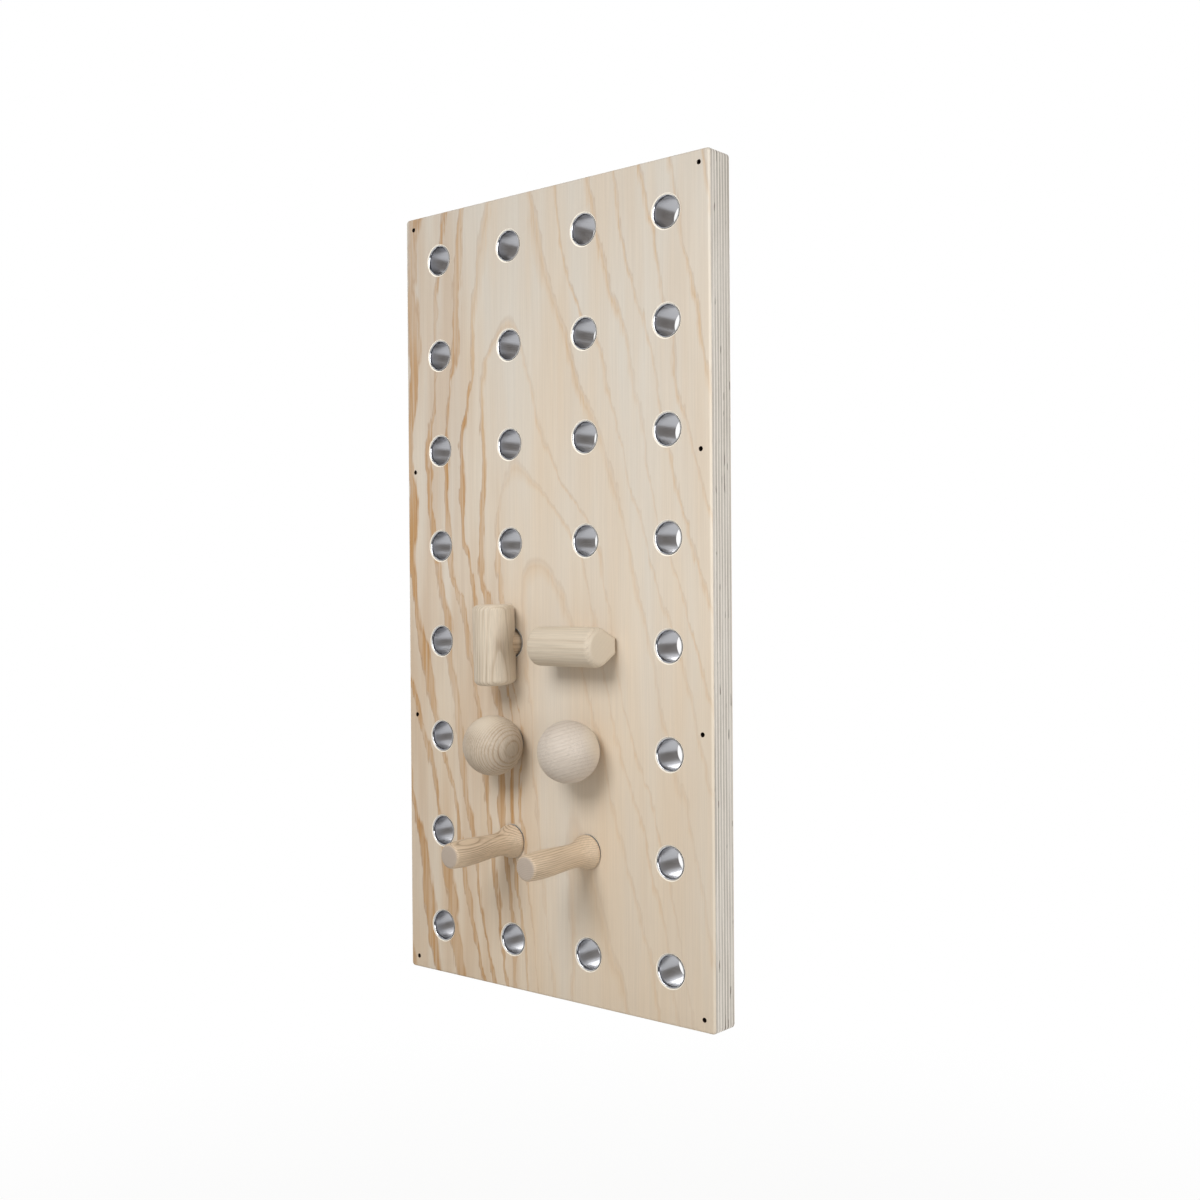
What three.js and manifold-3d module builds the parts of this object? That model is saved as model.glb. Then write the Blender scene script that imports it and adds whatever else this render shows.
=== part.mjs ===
// A climbing pegboard: a thick plywood panel that hangs on a wall, with a grid of holes lined with
// metal sleeves, and six wooden pegs of three kinds that a climber pulls out and pushes into other holes.
// Lengths are in millimetres. +Z is up, -Y faces the climber, and the origin is the middle of the back.
import * as THREE from "three";
import { mergeVertices } from "three/addons/utils/BufferGeometryUtils.js";
import Module from "manifold-3d";

const wasm = await Module();
wasm.setup();

// Panel
const boardWidth = 600;
const boardHeight = 1200;
const boardThickness = 48;
const cornerRadius = 6;
const edgeRound = 4;

// Grid of peg holes, spread evenly over the panel
const columnCount = 4;
const rowCount = 8;

// Screw holes down both long sides
const screwHoleDiameter = 6.5;
const screwHoleInset = 18;
const screwHolesPerSide = 4;

// Sleeves: the bore is what the pegs fit, and its front mouth is rounded over as a lip
const boreDiameter = 42;
const sleeveWall = 2;
const lipWidth = 1.7;
const lipDepth = 3;
const backBevel = 0.8;

// Pegs
const dowelDiameter = 40;
const dowelReach = 45;
const dowelChamfer = 2;

const ballDiameter = 90;
const ballSeatDiameter = 44;
const ballDrillDepth = 42;

const gripLength = 120;
const gripWidth = 57;
const gripDepth = 66;
const gripBackWidth = 25;
const gripEndRound = 9;
const gripDrillDepth = 40;

const handleReach = 132;
const flangeDiameter = 51;
const flangeRim = 3;
const rimRound = 1;
const waistDiameter = 34.6;
const waistReach = 34;
const swellDiameter = 40;
const swellReach = 100;
const tipDiameter = 37;
const tipRound = 5;

// Clearances
const seatGap = 0.3;
const glueGap = 0.3;
const sleeveGap = 0.3;
const cutOverrun = 5;

// How finely curves are cut up
const roundSegments = 18;
const screwHoleSegments = 8;
const lipSteps = 2;
const bevelSegments = 3;
const ballRings = 10;
const gripArcSegments = 12;
const flareSteps = 5;
const swellSteps = 4;
const tipSteps = 2;

// How early the flare of a straight peg falls away: 1 is an even S, less is a sharper bell
const flareSkew = 0.6;

const columnPitch = boardWidth / columnCount;
const rowPitch = boardHeight / rowCount;
const boreRadius = boreDiameter / 2;
const dowelRadius = dowelDiameter / 2;
const sleeveRadius = boreRadius + sleeveWall;

const plywood = { color: 0xdccfb8, roughness: 0.62, metalness: 0 };
const aluminium = { color: 0xc4c8cc, roughness: 0.28, metalness: 1 };
const turnedAsh = { color: 0xcdbda6, roughness: 0.55, metalness: 0 };

// A revolved piece is drawn as [radius, station] points. Stations run along its local Y axis, and the
// points go round the section so that the faces point outward.
function revolve(outline) {
  const points = outline.map(([radius, station]) => new THREE.Vector2(radius, station));
  return new THREE.LatheGeometry(points, roundSegments);
}

function toSolid(geometry) {
  const bare = geometry.clone();
  bare.deleteAttribute("normal");
  bare.deleteAttribute("uv");
  const merged = mergeVertices(bare);
  return new wasm.Manifold(
    new wasm.Mesh({
      numProp: 3,
      vertProperties: merged.getAttribute("position").array,
      triVerts: new Uint32Array(merged.index.array),
    }),
  );
}

function toGeometry(solid) {
  const mesh = solid.getMesh();
  const geometry = new THREE.BufferGeometry();
  geometry.setAttribute("position", new THREE.BufferAttribute(mesh.vertProperties, mesh.numProp));
  geometry.setIndex(new THREE.BufferAttribute(mesh.triVerts, 1));
  geometry.computeVertexNormals();
  return geometry;
}

function cut(geometry, cutters) {
  let solid = toSolid(geometry);
  for (const cutter of cutters) {
    solid = solid.subtract(toSolid(cutter));
  }
  return toGeometry(solid);
}

function piece(name, geometry, finish) {
  const mesh = new THREE.Mesh(geometry, new THREE.MeshStandardMaterial(finish));
  mesh.name = name;
  return mesh;
}

// Centre of a peg hole, counted from the top row and the left column
function holeCentre(row, column) {
  const x = (column - (columnCount - 1) / 2) * columnPitch;
  const z = ((rowCount - 1) / 2 - row) * rowPitch;
  return { x, z };
}

// A round cutter along Y through the whole panel
function drill(radius, segments, x, z) {
  const length = boardThickness + 2 * cutOverrun;
  const geometry = new THREE.CylinderGeometry(radius, radius, length, segments);
  geometry.translate(x, -boardThickness / 2, z);
  return geometry;
}

function roundedRectangle(width, height, radius) {
  const x = width / 2;
  const y = height / 2;
  const shape = new THREE.Shape();
  shape.moveTo(-x + radius, -y);
  shape.absarc(x - radius, -y + radius, radius, -Math.PI / 2, 0);
  shape.absarc(x - radius, y - radius, radius, 0, Math.PI / 2);
  shape.absarc(-x + radius, y - radius, radius, Math.PI / 2, Math.PI);
  shape.absarc(-x + radius, -y + radius, radius, Math.PI, (3 * Math.PI) / 2);
  return shape;
}

function board() {
  const panel = new THREE.ExtrudeGeometry(roundedRectangle(boardWidth, boardHeight, cornerRadius), {
    depth: boardThickness - 2 * edgeRound,
    curveSegments: bevelSegments,
    bevelSegments,
    bevelThickness: edgeRound,
    bevelSize: edgeRound,
    bevelOffset: -edgeRound,
  });
  panel.rotateX(Math.PI / 2);
  panel.translate(0, -edgeRound, 0);

  const drills = [];
  for (let row = 0; row < rowCount; row++) {
    for (let column = 0; column < columnCount; column++) {
      const { x, z } = holeCentre(row, column);
      drills.push(drill(sleeveRadius + sleeveGap, roundSegments, x, z));
    }
  }
  const screwPitch = (boardHeight - 2 * screwHoleInset) / (screwHolesPerSide - 1);
  for (let i = 0; i < screwHolesPerSide; i++) {
    const z = boardHeight / 2 - screwHoleInset - i * screwPitch;
    for (const side of [-1, 1]) {
      const x = side * (boardWidth / 2 - screwHoleInset);
      drills.push(drill(screwHoleDiameter / 2, screwHoleSegments, x, z));
    }
  }
  return piece("board", cut(panel, drills), plywood);
}

// A tube, flush with both faces of the panel, bevelled into its bore at the back and rounded at the front
function sleeve(row, column) {
  const front = -boardThickness;
  const outline = [
    [sleeveRadius, front],
    [sleeveRadius, 0],
    [boreRadius + backBevel, 0],
    [boreRadius, -backBevel],
  ];
  for (let i = 0; i <= lipSteps; i++) {
    const angle = (Math.PI / 2) * (i / lipSteps);
    outline.push([
      boreRadius + lipWidth * (1 - Math.cos(angle)),
      front + lipDepth * (1 - Math.sin(angle)),
    ]);
  }
  outline.push([sleeveRadius, front]);
  const mesh = piece(`sleeve_r${row + 1}_c${column + 1}`, revolve(outline), aluminium);
  const { x, z } = holeCentre(row, column);
  mesh.position.set(x, 0, z);
  return mesh;
}

// Every peg is drawn with its shank along +Y into the panel and its handle towards -Y, and with the
// plane that bears on the panel at Y = 0.

// A dowel from its inner end in the panel out to its glued end in the handle
function dowel(name, gluedDepth) {
  const outline = [
    [0, -gluedDepth],
    [dowelRadius, -gluedDepth],
    [dowelRadius, dowelReach - dowelChamfer],
    [dowelRadius - dowelChamfer, dowelReach],
    [0, dowelReach],
  ];
  return piece(name, revolve(outline), turnedAsh);
}

function ballPeg(name) {
  const radius = ballDiameter / 2;
  const seatRadius = ballSeatDiameter / 2;
  const centre = -Math.sqrt(radius ** 2 - seatRadius ** 2);
  const seatAngle = Math.asin(seatRadius / radius);
  const drillRadius = dowelRadius + glueGap;
  const outline = [];
  for (let i = 0; i <= ballRings; i++) {
    const angle = Math.PI - ((Math.PI - seatAngle) * i) / ballRings;
    outline.push([i === 0 ? 0 : radius * Math.sin(angle), centre + radius * Math.cos(angle)]);
  }
  outline.push([drillRadius, 0], [drillRadius, -ballDrillDepth - glueGap], [0, -ballDrillDepth - glueGap]);

  const peg = new THREE.Group();
  peg.add(piece(name, revolve(outline), turnedAsh));
  peg.add(dowel(`${name}_dowel`, ballDrillDepth));
  return { peg, lowSeat: seatRadius };
}

// Cross-section of a grip: a round front, and straight sides that run from it, as tangents, to a
// narrow flat back at y = 0. x runs across the bar.
function gripSection() {
  const half = gripBackWidth / 2;
  const radius = gripWidth / 2;
  const centre = -(gripDepth - radius);
  const toCorner = Math.hypot(half, centre);
  const cornerAngle = Math.atan2(-centre, half);
  const tangentAngle = cornerAngle - Math.acos(radius / toCorner);
  const shape = new THREE.Shape();
  shape.moveTo(-half, 0);
  shape.absarc(0, centre, radius, Math.PI - tangentAngle, 2 * Math.PI + tangentAngle);
  shape.lineTo(half, 0);
  shape.closePath();
  return shape;
}

function gripPeg(name, upright) {
  const bar = new THREE.ExtrudeGeometry(gripSection(), {
    depth: gripLength - 2 * gripEndRound,
    curveSegments: gripArcSegments,
    bevelSegments,
    bevelThickness: gripEndRound,
    bevelSize: gripEndRound,
    bevelOffset: -gripEndRound,
  });
  bar.translate(0, 0, gripEndRound - gripLength / 2);
  if (!upright) {
    bar.rotateY(Math.PI / 2);
  }
  const hole = new THREE.CylinderGeometry(
    dowelRadius + glueGap,
    dowelRadius + glueGap,
    gripDrillDepth + glueGap + cutOverrun,
    roundSegments,
  );
  hole.translate(0, (cutOverrun - gripDrillDepth - glueGap) / 2, 0);

  const peg = new THREE.Group();
  peg.add(piece(name, cut(bar, [hole]), turnedAsh));
  peg.add(dowel(`${name}_dowel`, gripDrillDepth));
  return { peg, lowSeat: upright ? gripLength / 2 : gripBackWidth / 2 };
}

// Goes from 0 to 1 with no slope at either end
function ease(t) {
  return (1 - Math.cos(Math.PI * t)) / 2;
}

// A straight peg is turned in one piece: shank, flange, bell-shaped flare, waist, swell and tip
function straightPeg(name) {
  const flange = flangeDiameter / 2;
  const waist = waistDiameter / 2;
  const swell = swellDiameter / 2;
  const tip = tipDiameter / 2;
  const outline = [[0, -handleReach]];
  for (let i = 0; i <= tipSteps; i++) {
    const angle = (Math.PI / 2) * (i / tipSteps);
    const radius = tip - tipRound + tipRound * Math.sin(angle);
    outline.push([radius, -handleReach + tipRound - tipRound * Math.cos(angle)]);
  }
  for (let i = 1; i <= tipSteps; i++) {
    const t = i / tipSteps;
    const station = -handleReach + tipRound + t * (handleReach - tipRound - swellReach);
    outline.push([tip + (swell - tip) * Math.sin((Math.PI / 2) * t), station]);
  }
  for (let i = 1; i <= swellSteps; i++) {
    const t = i / swellSteps;
    outline.push([swell + (waist - swell) * ease(t), -swellReach + t * (swellReach - waistReach)]);
  }
  for (let i = flareSteps - 1; i >= 0; i--) {
    const t = i / flareSteps;
    outline.push([flange + (waist - flange) * ease(t ** flareSkew), -flangeRim - t * (waistReach - flangeRim)]);
  }
  outline.push([flange, -rimRound], [flange - rimRound, 0], [dowelRadius, 0]);
  outline.push([dowelRadius, dowelReach - dowelChamfer], [dowelRadius - dowelChamfer, dowelReach]);
  outline.push([0, dowelReach]);

  const peg = new THREE.Group();
  peg.add(piece(name, revolve(outline), turnedAsh));
  return { peg, lowSeat: flange };
}

// A peg sags in its sleeve until its shank bears on the mouth of the bore below and its inner end
// on the bore above. It then stands off the panel by as much as the sag swings the foot of its seat in.
const sag = Math.atan((2 * (boreRadius - dowelRadius - seatGap)) / (dowelReach - dowelChamfer - lipDepth));

function plug({ peg, lowSeat }, row, column) {
  const { x, z } = holeCentre(row, column);
  const standOff = seatGap + lowSeat * Math.sin(sag);
  const drop = boreRadius - seatGap - dowelRadius / Math.cos(sag) + (lipDepth + standOff) * Math.tan(sag);
  peg.position.set(x, -boardThickness - standOff, z - drop);
  peg.rotation.x = sag;
  return peg;
}

const pegboard = new THREE.Group();
pegboard.add(board());
for (let row = 0; row < rowCount; row++) {
  for (let column = 0; column < columnCount; column++) {
    pegboard.add(sleeve(row, column));
  }
}

// The pegs hang in the two middle columns, in three rows below the middle
const rightColumn = Math.floor(columnCount / 2);
const leftColumn = rightColumn - 1;
const gripRow = Math.floor(rowCount / 2);
const ballRow = gripRow + 1;
const straightRow = ballRow + 1;
pegboard.add(plug(gripPeg("upright_grip", true), gripRow, leftColumn));
pegboard.add(plug(gripPeg("level_grip", false), gripRow, rightColumn));
pegboard.add(plug(ballPeg("ball_left"), ballRow, leftColumn));
pegboard.add(plug(ballPeg("ball_right"), ballRow, rightColumn));
pegboard.add(plug(straightPeg("straight_peg_left"), straightRow, leftColumn));
pegboard.add(plug(straightPeg("straight_peg_right"), straightRow, rightColumn));

export default pegboard;
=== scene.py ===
"""A climbing pegboard: a drilled plywood panel lined with aluminium sleeves, and six wooden pegs.

Lengths are in metres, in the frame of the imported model: +Z is up, -Y faces the climber, and the origin
is the middle of the panel's back. Rows of holes count from the top and columns from the left.
"""

import math
from functools import partial

import bmesh
import bpy
from mathutils import Euler, Matrix, Vector


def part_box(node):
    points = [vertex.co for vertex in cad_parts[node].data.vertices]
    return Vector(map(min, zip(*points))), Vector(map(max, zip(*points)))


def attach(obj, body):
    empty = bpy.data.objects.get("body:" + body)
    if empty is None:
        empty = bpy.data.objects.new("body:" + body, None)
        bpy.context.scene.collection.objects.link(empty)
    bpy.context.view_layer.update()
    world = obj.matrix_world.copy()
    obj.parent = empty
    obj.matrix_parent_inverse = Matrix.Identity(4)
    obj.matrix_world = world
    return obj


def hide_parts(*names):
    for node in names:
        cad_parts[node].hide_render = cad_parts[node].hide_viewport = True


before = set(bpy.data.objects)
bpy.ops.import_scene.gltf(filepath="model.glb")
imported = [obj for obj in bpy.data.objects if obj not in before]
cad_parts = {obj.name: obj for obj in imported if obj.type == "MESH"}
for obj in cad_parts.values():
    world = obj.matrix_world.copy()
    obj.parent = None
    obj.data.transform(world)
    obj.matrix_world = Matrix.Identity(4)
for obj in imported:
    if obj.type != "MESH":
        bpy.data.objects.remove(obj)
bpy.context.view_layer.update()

bl_info = {
    "name": "Climbing pegboard",
    "version": (1, 0, 0),
    "blender": (4, 5, 0),
    "location": "3D View > Sidebar > Pegboard",
    "description": "Builds a climbing pegboard with its sleeves and pegs, and a plain studio round it",
    "category": "Add Mesh",
}

MM = 0.001
BOARD_BODY = "board"
UPRIGHT = Euler((math.pi / 2, 0, 0))
SMOOTH_ANGLE = math.radians(35)
DRILLED_SEGMENTS, TURNED_SEGMENTS, BALL_SEGMENTS, CORNER_SEGMENTS = 64, 96, 128, 5
GRIP_ROW, BALL_ROW, STRAIGHT_ROW = 5, 6, 7
LEFT_COLUMN, RIGHT_COLUMN = 2, 3
# How deep the grips and balls are drilled for their dowels, and the room left for glue.
GRIP_DRILLED, BALL_DRILLED, GLUE_GAP = 40 * MM, 42 * MM, 0.1 * MM
# Dark brown of the checks in the plies, and of the painted shade on the walls of the screw holes.
CHECK_BROWN, SCREW_HOLE_SHADE_BROWN = "#4a3a2c", "#2c2019"
PAINT_WHITE, FILL_WHITE = "#f2f1ee", "#fbf9f5"
FLOOR_SIZE, SENSOR_MILLIMETRES = 14, 36
# A Mix node blends colours between its inputs 6 and 7.
BLEND = {"out": 2, "data_type": "RGBA"}

board_low, board_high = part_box("board")
BOARD_WIDTH = board_high.x - board_low.x
BOARD_HEIGHT = board_high.z - board_low.z
BOARD_THICKNESS = board_high.y - board_low.y

# Growth rings of the face veneer: each row is one line, drawn through ten heights from the panel's top to
# its foot, in millimetres right of the panel's middle. The row after the LEFT_LINES is the flame's axis.
RING_LINES = (
    (-567, -567, -567, -567, -553, -533, -500, -460, -427, -400),
    (-473, -473, -473, -467, -453, -433, -400, -357, -323, -297),
    (-400, -400, -400, -393, -380, -360, -330, -297, -270, -243),
    (-347, -347, -350, -347, -340, -320, -281, -241, -223, -197),
    (-291, -293, -295, -297, -300, -280, -248, -200, -181, -140),
    (-213, -233, -237, -257, -245, -220, -197, -173, -145, -117),
    (-177, -192, -205, -220, -213, -170, -145, -128, -109, -85),
    (-115, -150, -161, -187, -169, -140, -98, -99, -80, -70),
    (-97, -103, -133, -140, -145, -110, -70, -73, -57, -43),
    (-73, -76, -75, -65, -27, 0, 23, 47, 67, 87),
    (-53, -47, -32, 7, 100, 127, 160, 207, 240, 267),
    (-33, 12, 57, 117, 160, 193, 227, 267, 293, 320),
    (21, 47, 110, 147, 197, 240, 280, 320, 357, 393),
    (90, 121, 160, 190, 230, 273, 313, 357, 393, 433),
    (133, 160, 200, 233, 273, 313, 353, 393, 433, 460),
    (180, 207, 240, 273, 313, 353, 393, 433, 460, 480),
    (233, 260, 293, 320, 360, 393, 433, 460, 480, 490),
    (287, 313, 340, 367, 400, 433, 460, 480, 490, 495),
    (367, 387, 407, 427, 447, 460, 473, 487, 493, 499),
)
LEFT_LINES = 9
# How many rings the flame's axis has gained at those heights. Where it passes 0, the first arch closes.
FLAME_RINGS = (-0.35, -0.2, 0.5, 1.0, 1.9, 2.5, 2.8, 3.0, 3.2, 3.4)
# A curve node holds only 0 to 1, so lines and rings are drawn as shares of these ranges.
LINE_RANGE, RING_RANGE = (-600 * MM, 500 * MM), (-1, 4)

# Noise in the plywood: its shift, its cells to the metre across, through and down the panel, its detail and
# roughness, and where it is mapped, the range that is taken and the range that it becomes. Fibres and pores
# are coarser than real ones, 1.6 mm and 0.7 to 1.4 mm, so that they show.
PLYWOOD_NOISE = {
    "drift": (0.0, (7, 1, 2.2), 1.5, 0.5, 0, 1, -15 * MM, 15 * MM),
    "bends": (3.1, (26, 3, 9), 1.5, 0.5, 0, 1, -12 * MM, 12 * MM),
    "kinks": (7.7, (90, 9, 34), 1.5, 0.5, 0, 1, -6 * MM, 6 * MM),
    "splinters": (5.3, (420, 20, 16), 1.5, 0.5, 0, 1, -4 * MM, 4 * MM),
    "swelling": (17, (16, 2, 5), 2, 0.5),
    "patches": (11, (9, 2, 3.4), 2, 0.5, 0.3, 0.7, 0.55, 1.25),
    "flecks": (2.9, (240, 20, 7), 2, 0.5, 0.35, 0.65, 0.6, 1.1),
    "haze": (8, (22, 1, 2), 2, 0.5, 0.4, 0.62, 0.03, 0.4),
    "streaks": (5, (14, 2, 1.6), 3, 0.5),
    "fibres": (1.3, (620, 40, 9), 3, 0.6),
    "waves": (0, (1, 1, 6), 2, 0.5),
    "pores": (4, (700, 1500, 130), 4, 0.7, 0.2, 0.8, 0.84, 1.12),
    "shades": (2, (3, 60, 6), 2, 0.5, 0.3, 0.7, 0.2, 0.6),
    "checks": (9, (2, 260, 34), 1, 0.5, 0.7, 0.73, 0.0, 0.8),
    "glue": (6, (1, 330, 12), 2, 0.5, 0.36, 0.56, 0.0, 0.7),
}
# The same for the ash of the pegs, with the log's length last. Real pores are 0.2 mm wide. They are drawn
# in cells of 1.6 mm, so that they show.
ASH_NOISE = {
    "drift": (0, (22, 22, 7), 2, 0.5),
    "patches": (0, (60, 60, 14), 2, 0.5),
    "pores": (0, (620, 620, 13), 2, 0.7),
}
# Scratches in the aluminium: cells to the metre, detail, and the range of the roughness. They are 0.7 mm
# and 1.1 mm apart, coarser than real ones.
DRAWN = ((1400, 30, 1400), 2, 0.28, 0.34)
POLISHED = ((900, 900, 900), 3, 0.05, 0.12)
# How each blank was sawn: the way across its rings, the way along the log, the distance to the log's middle,
# the width of a ring and the contrast.
SAWN = {
    "upright_grip": ((1, -0.25, 0), (0.06, -0.03, 1), 170 * MM, 4.2 * MM, 0.4),
    "level_grip": ((0.04, -0.4, 1), (1, 0, 0), 90 * MM, 6 * MM, 0.22),
    "ball_left": ((0.98, 0.04, 0.12), (0, 0.5, -1), 160 * MM, 3.4 * MM, 0.6),
    "ball_right": ((-0.4, 0.1, 1), (1, 0.5, 0.35), 300 * MM, 5 * MM, 0.2),
    "straight_peg_left": ((0.35, 0, 1), (0.04, 1, 0.02), 70 * MM, 2.1 * MM, 0.7),
    "straight_peg_right": ((-0.3, 0, 1), (-0.04, 1, 0.03), 60 * MM, 2.8 * MM, 0.6),
    "dowel": ((1, 0, 0.6), (0, 1, 0), 20 * MM, 2.4 * MM, 0.5),
}
# One ring of the ash from its inner side to its outer: the share of the way, and how dark the wood is.
ASH_RING = ((0, 0.3), (0.25, 0), (0.6, 0.12), (0.8, 0.6), (0.9, 1), (0.97, 0.8), (1, 0.4))


def linear(hex_colour):
    """The linear RGB of an sRGB hex colour such as "#d8c9b0"."""
    channels = [int(hex_colour[i : i + 2], 16) / 255 for i in (1, 3, 5)]
    return tuple(c / 12.92 if c <= 0.04045 else ((c + 0.055) / 1.055) ** 2.4 for c in channels)


def setting(kind, name, description, default, **limits):
    """A value that a user would change."""
    return getattr(bpy.props, kind)(name=name, description=description, default=default, **limits)


def colour(name, description, hex_colour):
    """A colour that a user would change."""
    limits = {"size": 3, "min": 0, "max": 1, "subtype": "COLOR"}
    return setting("FloatVectorProperty", name, description, linear(hex_colour), **limits)


count = partial(setting, "IntProperty", min=1)
length = partial(setting, "FloatProperty", min=0, precision=4, unit="LENGTH", subtype="DISTANCE")
point = partial(setting, "FloatVectorProperty", size=3, unit="LENGTH", subtype="TRANSLATION")
power = partial(setting, "FloatProperty", min=0, max=2000)


class PegboardPanelSettings(bpy.types.PropertyGroup):
    """Sizes and colours of the plywood panel."""

    columns: count("Columns", "Peg holes in a row", 4)
    rows: count("Rows", "Peg holes in a column", 8)
    plies: count("Plies", "Veneers in the panel", 15)
    corner_radius: length("Corner radius", "Radius of the corners", 6 * MM)
    edge_round: length("Edge round", "Radius worked on the edges", 4 * MM)
    hole_diameter: length("Hole diameter", "Bore that holds a sleeve", 46.6 * MM)
    hole_chamfer: length("Hole chamfer", "Sanded bevel round a peg hole", 2 * MM)
    screw_diameter: length("Screw hole", "Bore for a wall screw", 6.5 * MM)
    screw_chamfer: length("Screw chamfer", "Bevel round a screw hole", 0.3 * MM)
    screw_inset: length("Screw inset", "Distance of the screw holes from the edges", 18 * MM)
    screws_per_side: count("Screws per side", "Screw holes down each long side", 4)
    earlywood: colour("Earlywood", "Pale wood between the rings", "#d4ccc0")
    warm_earlywood: colour("Warm earlywood", "Pale wood where it is more resinous", "#d8c8b3")
    latewood: colour("Latewood", "Tan wood of the broad rings", "#b68c5c")
    faint_latewood: colour("Faint latewood", "Yellow wood of the thin rings", "#cda268")
    ring_edge: colour("Ring edge", "Thin dark line beside a ring", "#9c7042")
    bare_wood: colour("Bare wood", "Sanded bevel round the peg holes", "#fff8ea")
    end_grain: colour("End grain", "Cut ends of the cross plies", "#85776a")
    ply_side: colour("Ply side", "Sides of the long plies", "#f6f0e7")


class PegboardSleeveSettings(bpy.types.PropertyGroup):
    """Sizes and finish of the metal sleeves."""

    outer_diameter: length("Outer diameter", "Outside of the tube", 46 * MM)
    bore_diameter: length("Bore", "Inside of the tube", 42 * MM)
    lip_width: length("Lip width", "How far the rounded mouth opens out", 1.7 * MM)
    lip_depth: length("Lip depth", "How deep the rounded mouth runs", 4.5 * MM)
    bearing_depth: length("Bearing depth", "Depth at which a shank bears", 3 * MM)
    back_bevel: length("Back bevel", "Bevel at the back of the bore", 0.8 * MM)
    metal: colour("Aluminium", "Colour of the bare metal", "#b4b5b9")


class PegboardPegSettings(bpy.types.PropertyGroup):
    """Sizes and colours of the wooden pegs."""

    shank_diameter: length("Shank diameter", "Part of a peg that goes into a hole", 40 * MM)
    shank_reach: length("Shank reach", "How deep a peg goes into the panel", 45 * MM)
    shank_chamfer: length("Shank chamfer", "Bevel at the inner end of a shank", 2 * MM)
    seat_gap: length("Seat gap", "Play where a peg bears", 0.3 * MM)
    ball_diameter: length("Ball diameter", "Outside of a ball", 90 * MM)
    ball_seat_diameter: length("Ball seat", "Flat turned on the back of a ball", 44 * MM)
    grip_length: length("Grip length", "Length of a grip's bar", 120 * MM)
    grip_width: length("Grip width", "Width across a grip's round front", 57 * MM)
    grip_depth: length("Grip depth", "Depth from a grip's back to its front", 66 * MM)
    grip_back_width: length("Grip back", "Width of the flat that bears on the panel", 25 * MM)
    grip_end_round: length("Grip end round", "Radius worked on its ends", 9 * MM)
    grip_back_round: length("Grip back round", "Radius on the long edges of its back", 1.5 * MM)
    handle_reach: length("Handle reach", "How far a straight peg stands out", 132 * MM)
    flange_diameter: length("Flange diameter", "Foot of a straight peg", 51 * MM)
    flange_rim: length("Flange rim", "Straight rim of the flange", 3 * MM)
    rim_round: length("Rim round", "Radius at the foot of the rim", 1 * MM)
    waist_diameter: length("Waist diameter", "Thinnest part of a straight peg", 34.6 * MM)
    waist_reach: length("Waist reach", "From the panel to the waist", 34 * MM)
    swell_diameter: length("Swell diameter", "Thickest part of the handle", 40 * MM)
    swell_reach: length("Swell reach", "From the panel to the swell", 100 * MM)
    tip_diameter: length("Tip diameter", "End of the handle", 37 * MM)
    tip_round: length("Tip round", "Radius at the end of the handle", 5 * MM)
    pale_wood: colour("Pale wood", "Earlywood of the pegs", "#ccbfac")
    brown_wood: colour("Brown wood", "Earlywood of the left ball", "#beb09e")
    white_wood: colour("White wood", "Earlywood of the right ball", "#c8bdb1")
    ring_wood: colour("Ring wood", "Growth rings of the pegs", "#8c6c4a")
    end_wood: colour("End grain", "Sawn ends of the grips and balls", "#d6c9b6")
    turned_pale: colour("Turned pale wood", "Earlywood of the straight pegs", "#d2bda3")
    turned_dark: colour("Turned ring wood", "Growth rings of the straight pegs", "#806850")
    turned_end: colour("Turned end grain", "Ends of the straight pegs", "#ab9f95")


class PegboardStudioSettings(bpy.types.PropertyGroup):
    """Camera, lamps and floor."""

    camera_place: point("Camera", "Where the camera stands", (1.4418, -1.6471, 0.0034))
    camera_target: point("Target", "Point that the camera looks at", (0.1021, -0.048, -0.0108))
    camera_roll: setting("FloatProperty", "Roll", "Lean of the camera to its right", 0.0072, subtype="ANGLE")
    focal_length: setting("FloatProperty", "Focal length", "Lens on a sensor of 36 mm", 43.6, unit="CAMERA")
    floor_drop: length("Floor drop", "Height of the panel's foot over the floor", 0.9)
    fill: setting("FloatProperty", "Fill", "Strength of the even light", 0.35, min=0, max=5)
    key_place: point("Key lamp", "Where the large soft lamp stands", (0.2, -1.9, 1.1))
    key_power: power("Key power", "Power of the large soft lamp in watts", 35)
    side_place: point("Side lamp", "Where the upright lamp stands", (2.3, -0.5, 0.1))
    side_power: power("Side power", "Power of the upright lamp in watts", 16.5)
    back_place: point("Back lamp", "Where the rear lamp stands", (-0.7, 2.3, 0.9))
    back_power: power("Back power", "Power of the rear lamp in watts", 20)


def add_node(tree, kind, *inputs, out=0, **settings):
    """Adds a node and returns one of its outputs, or the node if it has none.

    kind is a node's type without its prefix, or an operation of the Math node such as "MULTIPLY". Inputs are
    values or sockets, in the order of the node's own inputs or by name in a dictionary.
    """
    if kind.isupper():
        kind, settings["operation"] = "Math", kind
    prefix = next(p for p in ("ShaderNode", "GeometryNode", "Node") if hasattr(bpy.types, p + kind))
    node = tree.nodes.new(prefix + kind)
    for name, value in settings.items():
        setattr(node, name, value)
    given = {}
    for slot, value in enumerate(inputs):
        given.update(value if isinstance(value, dict) else {slot: value})
    for slot, value in given.items():
        for one in value if isinstance(value, list) else [value]:
            if isinstance(one, bpy.types.NodeSocket):
                tree.links.new(one, node.inputs[slot])
            elif node.inputs[slot].type == "RGBA":
                node.inputs[slot].default_value = (*one, 1.0)
            else:
                node.inputs[slot].default_value = one
    return node.outputs[out] if node.outputs else node


def new_object(name, data):
    """An object in the scene."""
    thing = bpy.data.objects.new(name, data)
    bpy.context.scene.collection.objects.link(thing)
    return thing


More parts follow.
